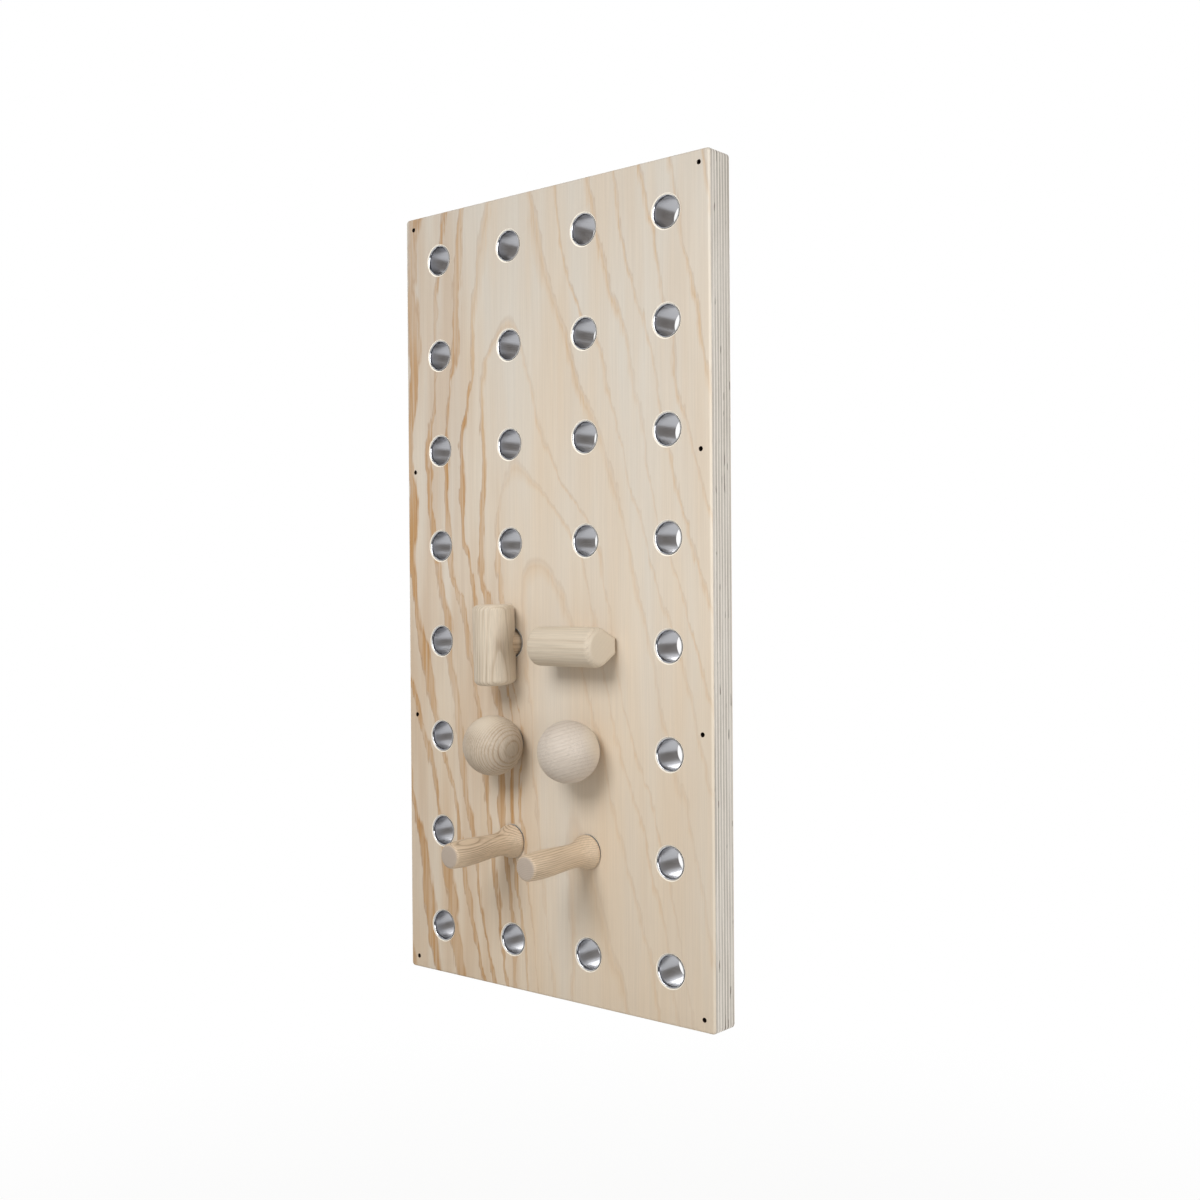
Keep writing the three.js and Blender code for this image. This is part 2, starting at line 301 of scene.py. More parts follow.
def piece_from(name, mesh, material=None):
    """An object for a finished mesh, smooth but for its sharp edges. Without a material it keeps its own."""
    mesh.name = name
    if material is not None:
        mesh.materials.clear()
        mesh.materials.append(material)
    mesh.shade_smooth()
    mesh.set_sharp_from_angle(angle=SMOOTH_ANGLE)
    return new_object(name, mesh)


def check_place(piece, nodes, tolerance=1.2 * MM):
    """Stops the script if a piece doesn't fill the box of the nodes that it replaces."""
    corners = [Vector(corner) for corner in piece.bound_box]
    boxes = [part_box(node) for node in nodes]
    for axis in range(3):
        low = min(box[0][axis] for box in boxes)
        high = max(box[1][axis] for box in boxes)
        off = max(abs(min(c[axis] for c in corners) - low), abs(max(c[axis] for c in corners) - high))
        if off > tolerance:
            raise RuntimeError(f"{piece.name} misses {nodes[0]} by {off / MM:.2f} mm along {'XYZ'[axis]}")


def finish_piece(piece, body, slot, *nodes):
    """Puts a piece on its body, in the place of the nodes that it stands for."""
    check_place(piece, nodes)
    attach(piece, body)
    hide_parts(*nodes)


def hole_centre(row, column):
    """Centre of a peg hole on the panel's front."""
    panel = bpy.context.scene.pegboard_panel
    x = (column - (panel.columns + 1) / 2) * BOARD_WIDTH / panel.columns
    z = ((panel.rows + 1) / 2 - row) * BOARD_HEIGHT / panel.rows
    return Vector((x, board_low.y, z))


def arc(centre, radius, start, end, steps):
    """Points on an arc with both its ends. centre is (radius, station), and radius may be (across, along)."""
    across, along = radius if isinstance(radius, tuple) else (radius, radius)
    angles = [start + (end - start) * i / steps for i in range(steps + 1)]
    return [(centre[0] + across * math.cos(a), centre[1] + along * math.sin(a)) for a in angles]


def skinned(name, rings, closed=False):
    """A mesh skinned over rings of points, the last joined to the first if closed.

    A ring of one point is a tip. Other end rings are capped.
    """
    skin = bmesh.new()
    loops = [[skin.verts.new(corner) for corner in ring] for ring in rings]
    around = max(len(loop) for loop in loops)
    following = loops[1:] + (loops[:1] if closed else [])
    for near, far in zip(loops, following):
        for i in range(around):
            j = (i + 1) % around
            corners = [near[i % len(near)], near[j % len(near)], far[j % len(far)], far[i % len(far)]]
            skin.faces.new(list(dict.fromkeys(corners)))
    for end in (loops[0], loops[-1]):
        if len(end) > 1 and not closed:
            skin.faces.new(end)
    bmesh.ops.recalc_face_normals(skin, faces=skin.faces)
    mesh = bpy.data.meshes.new(name)
    skin.to_mesh(mesh)
    skin.free()
    return mesh


def turned_mesh(name, outline, segments=TURNED_SEGMENTS):
    """A mesh turned from (radius, station) points about Y. It ends on the axis or where it starts."""
    turns = [2 * math.pi * i / segments for i in range(segments)]
    rings = []
    for radius, y in outline:
        ring = [(radius * math.sin(t), y, radius * math.cos(t)) for t in turns]
        rings.append(ring if radius else [(0, y, 0)])
    if outline[0] == outline[-1]:
        return skinned(name, rings[:-1], closed=True)
    return skinned(name, rings)


def line_mesh(name, points):
    """A mesh of edges only, which a Geometry Nodes tree sweeps as a section."""
    mesh = bpy.data.meshes.new(name)
    mesh.from_pydata([(x, y, 0) for x, y in points], [(i, i + 1) for i in range(len(points) - 1)], [])
    return mesh


def evaluated_mesh(thing):
    """The mesh of an object after its modifiers."""
    return bpy.data.meshes.new_from_object(thing.evaluated_get(bpy.context.evaluated_depsgraph_get()))


def new_tree(name, values):
    """A Geometry Nodes tree with a named input for each value, a function that adds nodes, and its inputs."""
    tree = bpy.data.node_groups.new(name, "GeometryNodeTree")
    for in_out in ("INPUT", "OUTPUT"):
        tree.interface.new_socket("Geometry", in_out=in_out, socket_type="NodeSocketGeometry")
    for socket, value in values.items():
        kind = {int: "Int", float: "Float"}.get(type(value), "Material")
        tree.interface.new_socket(socket, in_out="INPUT", socket_type=f"NodeSocket{kind}")
    return tree, partial(add_node, tree), tree.nodes.new("NodeGroupInput").outputs


def grown(name, base_mesh, tree, values):
    """Runs a Geometry Nodes tree on a mesh and returns the plain, closed mesh that it makes."""
    source = new_object(name, base_mesh)
    modifier = source.modifiers.new(tree.name, "NODES")
    modifier.node_group = tree
    for socket in tree.interface.items_tree:
        if socket.in_out == "INPUT" and socket.name in values:
            modifier[socket.identifier] = values[socket.name]
    mesh = evaluated_mesh(source)
    bpy.data.objects.remove(source)
    shell = bmesh.new()
    shell.from_mesh(mesh)
    bmesh.ops.remove_doubles(shell, verts=shell.verts, dist=0.001 * MM)
    bmesh.ops.recalc_face_normals(shell, faces=shell.faces)
    loose = [edge for edge in shell.edges if len(edge.link_faces) != 2]
    shell.to_mesh(mesh)
    shell.free()
    if loose or not mesh.polygons:
        raise RuntimeError(f"{name} isn't closed: {len(loose)} edges have no two faces")
    return mesh


def grid_values(panel):
    """What a tree needs to find the peg holes."""
    return {"Width": BOARD_WIDTH, "Height": BOARD_HEIGHT, "Columns": panel.columns, "Rows": panel.rows}


def drilled_points(add, given):
    """The centres of the peg holes, on a grid centred on the origin."""
    spans = []
    for side, number in (("Width", "Columns"), ("Height", "Rows")):
        pitch = add("DIVIDE", given[side], given[number])
        spans.append(add("SUBTRACT", given[side], pitch))
    return add("MeshGrid", *spans, given["Columns"], given["Rows"])


def panel_tree(values):
    """Drills a rounded panel. The object's own mesh is the section of its edge, swept round the outline."""
    tree, add, given = new_tree("Drilled panel", values)

    def inside(inset):
        """The panel's width and height, less an inset at both ends."""
        return [add("MULTIPLY_ADD", given[inset], -2.0, given[side]) for side in ("Width", "Height")]

    def lifted(geometry, height):
        """The geometry, moved up."""
        return add("Transform", {"Geometry": geometry, "Translation": add("CombineXYZ", {"Z": height})})

    # The flat of the front and the back is a rounded rectangle inside the worked edge.
    corner = add("SUBTRACT", given["Corner Radius"], given["Edge Round"])
    fillet = {"Radius": corner, "Count": CORNER_SEGMENTS}
    flat = add("CurvePrimitiveQuadrilateral", *inside("Edge Round"))
    outline = add("FilletCurve", flat, fillet, mode="POLY")

    # Screw holes stand in two columns, one down each long side.
    screws = add("MeshGrid", *inside("Screw Inset"), 2, given["Screws Per Side"])

    mouths, walls = [outline], []
    back = add("MULTIPLY", given["Thickness"], -0.5)
    front = add("MULTIPLY", given["Thickness"], 0.5)
    rounds = {"Vertices": DRILLED_SEGMENTS}
    for hole, centres in (("Hole", drilled_points(add, given)), ("Screw", screws)):
        radius, chamfer = given[f"{hole} Radius"], given[f"{hole} Chamfer"]
        mouth = add("ADD", radius, chamfer)
        ring = add("CurvePrimitiveCircle", {"Resolution": DRILLED_SEGMENTS, "Radius": mouth})
        mouths.append(add("InstanceOnPoints", {"Points": centres, "Instance": ring}))
        straight = add("MULTIPLY_ADD", chamfer, -2.0, given["Thickness"])
        half_straight = add("MULTIPLY", straight, 0.5)
        wall = [add("MeshCylinder", rounds, {"Radius": radius, "Depth": straight}, fill_type="NONE")]
        for start, low, high in ((half_straight, radius, mouth), (back, mouth, radius)):
            cone = {"Radius Bottom": low, "Radius Top": high, "Depth": chamfer}
            wall.append(lifted(add("MeshCone", rounds, cone, fill_type="NONE"), start))
        drilled = add("JoinGeometry", wall)
        walls.append(add("InstanceOnPoints", {"Points": centres, "Instance": drilled}))

    sheet = add("FillCurve", add("RealizeInstances", add("JoinGeometry", mouths)))
    rim = add("CurveToMesh", outline, add("MeshToCurve", given["Geometry"]))
    shell = add("JoinGeometry", [lifted(sheet, front), lifted(sheet, back), *walls, rim])

    # Drawn flat and centred, then stood up with its back on the wall.
    to_wall = add("CombineXYZ", {"Y": back})
    stood = add("Transform", {"Geometry": shell, "Translation": to_wall, "Rotation": UPRIGHT})
    real = add("RealizeInstances", stood)
    add("GroupOutput", add("SetMaterial", {"Geometry": real, "Material": given["Material"]}))
    return tree


def sleeve_tree(values):
    """Repeats one sleeve, the object's own mesh, at every peg hole of the panel."""
    tree, add, given = new_tree("Lined holes", values)
    upright = add("Transform", {"Geometry": drilled_points(add, given), "Rotation": UPRIGHT})
    repeated = add("InstanceOnPoints", {"Points": upright, "Instance": given["Geometry"]})
    real = add("RealizeInstances", repeated)
    dressed = add("SetMaterial", {"Geometry": real, "Material": given["Bore Material"]})
    on_lip = add("InputNamedAttribute", "lip", data_type="BOOLEAN")
    lip = {"Geometry": dressed, "Selection": on_lip, "Material": given["Lip Material"]}
    add("GroupOutput", add("SetMaterial", lip))
    return tree


class PEGBOARD_OT_panel(bpy.types.Operator):
    """Build the plywood panel with its peg holes and screw holes"""

    bl_idname = "pegboard.panel"
    bl_label = "Plywood panel"

    def execute(self, context):
        panel = context.scene.pegboard_panel
        half = BOARD_THICKNESS / 2
        edge = panel.edge_round
        front_arc = arc((0, half - edge), edge, math.pi / 2, 0, steps=6)
        back_arc = arc((0, edge - half), edge, 0, -math.pi / 2, steps=6)
        values = {
            **grid_values(panel),
            "Thickness": BOARD_THICKNESS,
            "Corner Radius": panel.corner_radius,
            "Edge Round": edge,
            "Hole Radius": panel.hole_diameter / 2,
            "Hole Chamfer": panel.hole_chamfer,
            "Screw Radius": panel.screw_diameter / 2,
            "Screw Chamfer": panel.screw_chamfer,
            "Screw Inset": panel.screw_inset,
            "Screws Per Side": panel.screws_per_side,
            "Material": plywood_material(panel),
        }
        section = line_mesh("edge_section", front_arc + back_arc)
        board = piece_from("plywood_panel", grown("panel_blank", section, panel_tree(values), values))
        finish_piece(board, BOARD_BODY, "plywood", "board")
        return {"FINISHED"}


class PEGBOARD_OT_sleeves(bpy.types.Operator):
    """Line every peg hole with an aluminium sleeve"""

    bl_idname = "pegboard.sleeves"
    bl_label = "Metal sleeves"

    def execute(self, context):
        panel = context.scene.pegboard_panel
        sleeve = context.scene.pegboard_sleeves
        bore, outer, bevel = sleeve.bore_diameter / 2, sleeve.outer_diameter / 2, sleeve.back_bevel
        front, back = board_low.y, board_high.y
        centre = (bore + sleeve.lip_width, front + sleeve.lip_depth)
        lip = arc(centre, (sleeve.lip_width, sleeve.lip_depth), math.pi, math.pi * 1.5, steps=12)
        back_end = [(outer, back), (bore + bevel, back), (bore, back - bevel)]
        tube = turned_mesh("sleeve_tube", [(outer, front), *back_end, *lip, (outer, front)])
        on_lip = tube.attributes.new("lip", "BOOLEAN", "FACE")
        inside = outer - 0.1 * MM
        for face in tube.polygons:
            at_mouth = face.center.y < front + sleeve.lip_depth
            on_lip.data[face.index].value = at_mouth and face.center.xz.length < inside
        values = {
            **grid_values(panel),
            "Bore Material": aluminium_material("drawn_aluminium_bore", sleeve.metal, *DRAWN),
            "Lip Material": aluminium_material("polished_aluminium_lip", sleeve.metal, *POLISHED),
        }
        sleeves = piece_from("sleeves", grown("sleeve_blank", tube, sleeve_tree(values), values))
        nodes = sorted(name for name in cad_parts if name.startswith("sleeve_"))
        finish_piece(sleeves, BOARD_BODY, "sleeve_metal", *nodes)
        return {"FINISHED"}


def peg_place(row, column, low_seat):
    """Where a peg's own frame sits: it sags in its sleeve and stands off as the foot of its seat needs."""
    peg, sleeve = bpy.context.scene.pegboard_pegs, bpy.context.scene.pegboard_sleeves
    shank, bore = peg.shank_diameter / 2, sleeve.bore_diameter / 2
    play = bore - shank - peg.seat_gap
    sag = math.atan(2 * play / (peg.shank_reach - peg.shank_chamfer - sleeve.bearing_depth))
    stand_off = peg.seat_gap + low_seat * math.sin(sag)
    lever = (sleeve.bearing_depth + stand_off) * math.tan(sag)
    drop = bore - peg.seat_gap - shank / math.cos(sag) + lever
    centre = hole_centre(row, column) + Vector((0, -stand_off, -drop))
    return Matrix.Translation(centre) @ Matrix.Rotation(sag, 4, "X")


def shank_outline(peg):
    """The buried end of every peg: its chamfer and inner face."""
    shank, chamfer, reach = peg.shank_diameter / 2, peg.shank_chamfer, peg.shank_reach
    return [(shank, reach - chamfer), (shank - chamfer, reach), (0, reach)]


def add_dowel(peg, name, body, place, drilled):
    """The dowel that carries a ball or a grip, glued in as deep as that is drilled."""
    start = GLUE_GAP - drilled
    mesh = turned_mesh(f"{name}_shank", [(0, start), (peg.shank_diameter / 2, start), *shank_outline(peg)])
    mesh.transform(place)
    tones = (peg.turned_pale, peg.turned_dark, peg.turned_end)
    wood = wood_material(f"{name}_shank_machined_ash", place, SAWN["dowel"], *tones)
    finish_piece(piece_from(f"{name}_shank", mesh, wood), body, "dowel_wood", f"{name}_dowel")


class PEGBOARD_OT_ball_pegs(bpy.types.Operator):
    """Build the two pegs with a ball"""

    bl_idname = "pegboard.ball_pegs"
    bl_label = "Ball pegs"

    def execute(self, context):
        peg = context.scene.pegboard_pegs
        radius, seat = peg.ball_diameter / 2, peg.ball_seat_diameter / 2
        centre = -math.sqrt(radius**2 - seat**2)
        round_side = arc((0, centre), radius, -math.pi / 2, math.acos(seat / radius), steps=56)[1:]
        bore = peg.shank_diameter / 2 + GLUE_GAP
        socket = [(bore, 0), (bore, -BALL_DRILLED), (0, -BALL_DRILLED)]
        for column, name, pale in (
            (LEFT_COLUMN, "ball_left", peg.brown_wood),
            (RIGHT_COLUMN, "ball_right", peg.white_wood),
        ):
            place = peg_place(BALL_ROW, column, seat)
            mesh = turned_mesh(name, [(0, centre - radius), *round_side, *socket], BALL_SEGMENTS)
            mesh.transform(place)
            tones = (pale, peg.ring_wood, peg.end_wood)
            wood = wood_material(f"{name}_turned_ash", place, SAWN[name], *tones)
            body = name.replace("ball_", "ball_peg_")
            finish_piece(piece_from(f"{name}_turned", mesh, wood), body, "ball_wood", name)
            add_dowel(peg, name, body, place, BALL_DRILLED)
        return {"FINISHED"}


def grip_section(peg, inset):
    """Cross-section of a grip, drawn in by inset: a round front and straight flanks to a narrow flat back."""
    front_radius = peg.grip_width / 2
    centre = front_radius - peg.grip_depth
    corner = Vector((peg.grip_back_width / 2, -centre))
    tangent = math.atan2(corner.y, corner.x) - math.acos(front_radius / corner.length)
    flank = Vector((math.cos(tangent), math.sin(tangent)))
    into_corner = inset + peg.grip_back_round
    fillet_x = (centre * flank.y + front_radius - into_corner + flank.y * into_corner) / flank.x
    right = arc((0, centre), front_radius - inset, -math.pi / 2, tangent, steps=28)
    right += arc((fillet_x, -into_corner), peg.grip_back_round, tangent, math.pi / 2, steps=5)
    left = [(-x, y) for x, y in reversed(right[1:])]
    return right + left


def grip_mesh(peg, name):
    """A grip's bar along Z, lofted through its section, with both ends rounded over."""
    end = peg.grip_end_round
    straight = peg.grip_length / 2 - end
    quarter = arc((0, 0), end, 0, math.pi / 2, steps=8)
    upper = [(end - along, straight + across) for across, along in quarter]
    lower = [(inset, -z) for inset, z in upper]
    rings = [[(x, y, z) for x, y in grip_section(peg, inset)] for inset, z in lower + upper[::-1]]
    return skinned(name, rings)


def bored(name, mesh, drill):
    """The mesh with the drill's mesh cut out of it."""
    blank, cutter = new_object(name, mesh), new_object(f"{name}_drill", drill)
    cut = blank.modifiers.new("Drill", "BOOLEAN")
    cut.object, cut.operation, cut.solver = cutter, "DIFFERENCE", "EXACT"
    result = evaluated_mesh(blank)
    for thing in (blank, cutter):
        bpy.data.objects.remove(thing)
    return result


class PEGBOARD_OT_grip_pegs(bpy.types.Operator):
    """Build the two pegs with a bar, one upright and one level"""

    bl_idname = "pegboard.grip_pegs"
    bl_label = "Grip pegs"

    def execute(self, context):
        peg = context.scene.pegboard_pegs
        bore = peg.shank_diameter / 2 + GLUE_GAP
        drill_outline = [(0, -GRIP_DRILLED), (bore, -GRIP_DRILLED), (bore, GRIP_DRILLED), (0, GRIP_DRILLED)]
        level = Matrix.Rotation(math.pi / 2, 4, "Y")
        for name, column, lie, low_seat in (
            ("upright_grip", LEFT_COLUMN, Matrix.Identity(4), peg.grip_length / 2),
            ("level_grip", RIGHT_COLUMN, level, peg.grip_back_width / 2),
        ):
            place = peg_place(GRIP_ROW, column, low_seat)
            bar = grip_mesh(peg, name)
            bar.transform(lie)
            mesh = bored(name, bar, turned_mesh("drill", drill_outline))
            mesh.transform(place)
            tones = (peg.pale_wood, peg.ring_wood, peg.end_wood)
            wood = wood_material(f"{name}_planed_ash", place, SAWN[name], *tones)
            finish_piece(piece_from(f"{name}_bar", mesh, wood), f"{name}_peg", "grip_wood", name)
            add_dowel(peg, name, f"{name}_peg", place, GRIP_DRILLED)
        return {"FINISHED"}


def ease(t):
    """From 0 to 1 with no slope at either end."""
    return (1 - math.cos(math.pi * t)) / 2


class PEGBOARD_OT_straight_pegs(bpy.types.Operator):
    """Build the two straight pegs, each turned in one piece with its shank"""

    bl_idname = "pegboard.straight_pegs"
    bl_label = "Straight pegs"

    def execute(self, context):
        peg = context.scene.pegboard_pegs
        flange = peg.flange_diameter / 2
        tip_centre = (peg.tip_diameter / 2 - peg.tip_round, peg.tip_round - peg.handle_reach)
        outline = [(0, -peg.handle_reach), *arc(tip_centre, peg.tip_round, -math.pi / 2, 0, steps=8)]

        # The handle flows from its tip over the swell and the waist to the flange.
        radius, station = peg.tip_diameter / 2, tip_centre[1]
        for next_radius, next_station, steps, shape in (
            (peg.swell_diameter / 2, -peg.swell_reach, 10, lambda share: math.sin(math.pi / 2 * share)),
            (peg.waist_diameter / 2, -peg.waist_reach, 20, ease),
            (flange, -peg.flange_rim, 20, lambda share: 1 - ease((1 - share) ** 0.6)),
        ):
            for i in range(1, steps + 1):
                grown_by = (next_radius - radius) * shape(i / steps)
                outline.append((radius + grown_by, station + (next_station - station) * i / steps))
            radius, station = next_radius, next_station
        outline += arc((flange - peg.rim_round, -peg.rim_round), peg.rim_round, 0, math.pi / 2, steps=4)
        outline += [(peg.shank_diameter / 2, 0), *shank_outline(peg)]

        for column, name in ((LEFT_COLUMN, "straight_peg_left"), (RIGHT_COLUMN, "straight_peg_right")):
            place = peg_place(STRAIGHT_ROW, column, flange)
            mesh = turned_mesh(name, outline)
            mesh.transform(place)
            tones = (peg.turned_pale, peg.turned_dark, peg.turned_end)
            wood = wood_material(f"{name}_turned_ash", place, SAWN[name], *tones)
            finish_piece(piece_from(f"{name}_turned", mesh, wood), name, "turned_wood", name)
        return {"FINISHED"}


def new_material(name):
    """An empty material, a function that adds a node to it, and its Object coordinates."""
    material = bpy.data.materials.new(name)
    material.use_nodes = True
    material.node_tree.nodes.clear()
    add = partial(add_node, material.node_tree)
    return material, add, add("TexCoord", out="Object")


def patterns(add, place, table):
    """The noise that a table such as PLYWOOD_NOISE describes, by name."""
    made = {}
    for name, (shift, scale, detail, roughness, *ranges) in table.items():
        stretched = add("Mapping", place, (shift, shift, shift), {"Scale": scale})
        cells = {"Vector": stretched, "Scale": 1.0, "Detail": detail, "Roughness": roughness}
        made[name] = add("TexNoise", cells)
        if ranges:
            made[name] = add("MapRange", made[name], *ranges)
    return made


def drawn_lines(add, down):
    """The ring lines as smooth curves down the face, and the height of the flame in rings."""
    drawn = []
    lines = [(*LINE_RANGE, [v * MM for v in line]) for line in RING_LINES]
    for low, high, values in (*lines, (*RING_RANGE, FLAME_RINGS)):
        curve = add("FloatCurve", {"Value": down})
        points = curve.node.mapping.curves[0].points
        while len(points) < len(values):
            points.new(0.5, 0.5)
        for i, value in enumerate(values):
            points[i].location = (i / (len(values) - 1), (value - low) / (high - low))
        curve.node.mapping.update()
        drawn.append(add("MapRange", curve, 0, 1, low, high))
    return drawn[:-1], drawn[-1]


def ring_share(add, across, down):
    """How far a point of the face is through its growth ring.

    The number of rings grows by one from line to line towards the flame, and inside it up to its axis.
    """
    lines, rings_high = drawn_lines(add, down)
    axis, left, right = lines[LEFT_LINES], lines[:LEFT_LINES], lines[LEFT_LINES + 1 :]
    short_of_tip = add("MINIMUM", add("SUBTRACT", rings_high, 0.4), 0.0)
    past_tip = add("SUBTRACT", rings_high, short_of_tip)
    to_flame = add("ADD", short_of_tip, 1.0)
    from_flame = add("MULTIPLY", to_flame, -1.0)
    gains = [1.0] * (len(left) - 2) + [to_flame, from_flame] + [-1.0] * (len(right) - 2)
    growth = 0.0
    for start, end, gain in zip(left[:-1] + right[:-1], left[1:] + right[1:], gains):
        growth = add("ADD", growth, add("MapRange", across, start, end, 0.0, gain))
    up_left = add("MapRange", across, left[-1], axis)
    up_right = add("MapRange", across, right[0], axis)
    inwards = add("MINIMUM", up_left, up_right)
    arched = add("MULTIPLY", inwards, add("SUBTRACT", 2.0, inwards))
    return add("FRACT", add("MULTIPLY_ADD", arched, past_tip, growth))


def veneer_colour(add, noise, panel, across, down):
    """Colour of the face: tan bands of latewood between thin darker lines, on pale wood with streaks."""
    # Rings are strong in the dense wood on the left, which widens downwards, and faint elsewhere.
    border = add("MapRange", down, 0.15, 0.75, -150 * MM, -25 * MM)
    past_border = add("SUBTRACT", across, border)
    dense = add("MapRange", past_border, -50 * MM, 50 * MM, 0.87, 0.0, interpolation_type="SMOOTHSTEP")
    dense = add("MAXIMUM", dense, add("MapRange", down, 0.1, 0.55, 0.4, 0.26))

    # A band swells and thins along its length, with a line on both sides.
    ring = ring_share(add, across, down)
    widest = add("MapRange", dense, 0.4, 0.9, 0.08, 0.5)
    inner = add("SUBTRACT", ring, add("MapRange", noise["swelling"], 0.3, 0.7, 0.04, widest))
    rise = add("MapRange", ring, 0.0, 0.04)
    fall = add("MapRange", inner, 0.0, 0.16, 1.0, 0.0, interpolation_type="SMOOTHSTEP")
    late = add("MINIMUM", rise, fall)
    outer_side = add("MapRange", ring, 0.965, 1.0, 0.0, 1.0)
    inner_side = add("MapRange", ring, 0.0, 0.05, 1.0, 0.0)
    second = add("MapRange", add("ABSOLUTE", inner), 0.0, 0.035, 0.6, 0.0)
    thin = add("MAXIMUM", add("MAXIMUM", outer_side, inner_side), second)

    # Both come and go in patches and flecks, over a haze of the same tan.
    strength = add("MULTIPLY", dense, noise["patches"])
    flecked = add("MULTIPLY", add("MULTIPLY", late, strength), noise["flecks"], use_clamp=True)
    tan_share = add("MAXIMUM", flecked, add("MULTIPLY", noise["haze"], dense))
    line_share = add("MULTIPLY", add("MULTIPLY", thin, strength), 0.62, use_clamp=True)
    warmth = add("MapRange", add("MULTIPLY_ADD", down, 0.5, noise["streaks"]), 0.55, 1.0)
    resinous = add("MapRange", dense, 0.4, 0.9)
    pale = add("Mix", warmth, {6: panel.earlywood, 7: panel.warm_earlywood}, **BLEND)
    tan = add("Mix", resinous, {6: panel.faint_latewood, 7: panel.latewood}, **BLEND)
    banded = add("Mix", tan_share, {6: pale, 7: tan}, **BLEND)
    lined = add("Mix", line_share, {6: banded, 7: panel.ring_edge}, **BLEND)
    # Fibres vary the tone. Painted shade darkens the upper half of the face, most at its top edge.
    fibre_light = add("MapRange", noise["fibres"], 0.2, 0.8, 0.93, 1.05)
    painted_top_shade = add("MapRange", down, 0.0, 0.5, 0.79, 0.98)
    light = add("MULTIPLY", fibre_light, painted_top_shade)
    return add("VectorMath", lined, {"Scale": light}, operation="SCALE")


def bevel_share(add, panel, place):
    """How bare the wood is: 0.9 on the bevel round every peg hole, and 0 elsewhere."""
    columns, rows = panel.columns, panel.rows
    pitch = (BOARD_WIDTH / columns, 0, BOARD_HEIGHT / rows)
    cells = {"Scale": (columns / BOARD_WIDTH, 1, rows / BOARD_HEIGHT)}
    counted = add("Mapping", place, (columns / 2, 0, rows / 2), cells)
    in_cell = add("VectorMath", counted, operation="FRACTION")
    from_hole = add("Mapping", in_cell, (-pitch[0] / 2, 0, -pitch[2] / 2), {"Scale": pitch})
    off_centre = add("VectorMath", from_hole, out="Value", operation="LENGTH")
    mouth = panel.hole_diameter / 2 + panel.hole_chamfer
    return add("MapRange", off_centre, mouth, mouth + 0.3 * MM, 0.9, 0.0)


def in_screw_hole(add, panel, off_middle, height):
    """1 on the walls of the screw holes, which get painted shade."""
    step = (BOARD_HEIGHT - 2 * panel.screw_inset) / (panel.screws_per_side - 1)
    from_side = add("SUBTRACT", off_middle, BOARD_WIDTH / 2 - panel.screw_inset)
    steps_up = add("MULTIPLY_ADD", height, 1 / step, (panel.screws_per_side - 1) / 2 + 0.5)
    from_screw = add("MULTIPLY_ADD", add("FRACT", steps_up), step, -step / 2)
    from_axis = add("CombineXYZ", from_side, 0.0, from_screw)
    off_axis = add("VectorMath", from_axis, out="Value", operation="LENGTH")
    return add("LESS_THAN", off_axis, panel.screw_diameter / 2 + 0.2 * MM)


def ply_colour(add, noise, panel, ply):
    """Colour of the panel's edges.

    Odd plies lie upright like the face and even ones run across, so each shows end grain on two of the
    edges. Glue lines between them come and go, and checks and small knots are dark slots.
    """
    even = add("GREATER_THAN", add("MODULO", ply, 2.0), 1.0)
    facing = add("SeparateXYZ", add("TexCoord", out="Normal"))
    on_top = add("LESS_THAN", add("ABSOLUTE", facing), 0.5)
    end_on = add("ABSOLUTE", add("SUBTRACT", even, on_top))
    end_share = add("MULTIPLY", end_on, noise["shades"])
    plies = add("Mix", end_share, {6: panel.ply_side, 7: panel.end_grain}, **BLEND)
    plies = add("VectorMath", plies, {"Scale": noise["pores"]}, operation="SCALE")
    glued = add("MapRange", add("FRACT", ply), 0.0, 0.3, 1.0, 0.0)
    glue = add("MULTIPLY", glued, noise["glue"])
    slots = add("MULTIPLY", noise["checks"], end_on)
    plies = add("Mix", glue, {6: plies, 7: panel.end_grain}, **BLEND)
    return add("Mix", slots, {6: plies, 7: linear(CHECK_BROWN)}, **BLEND)


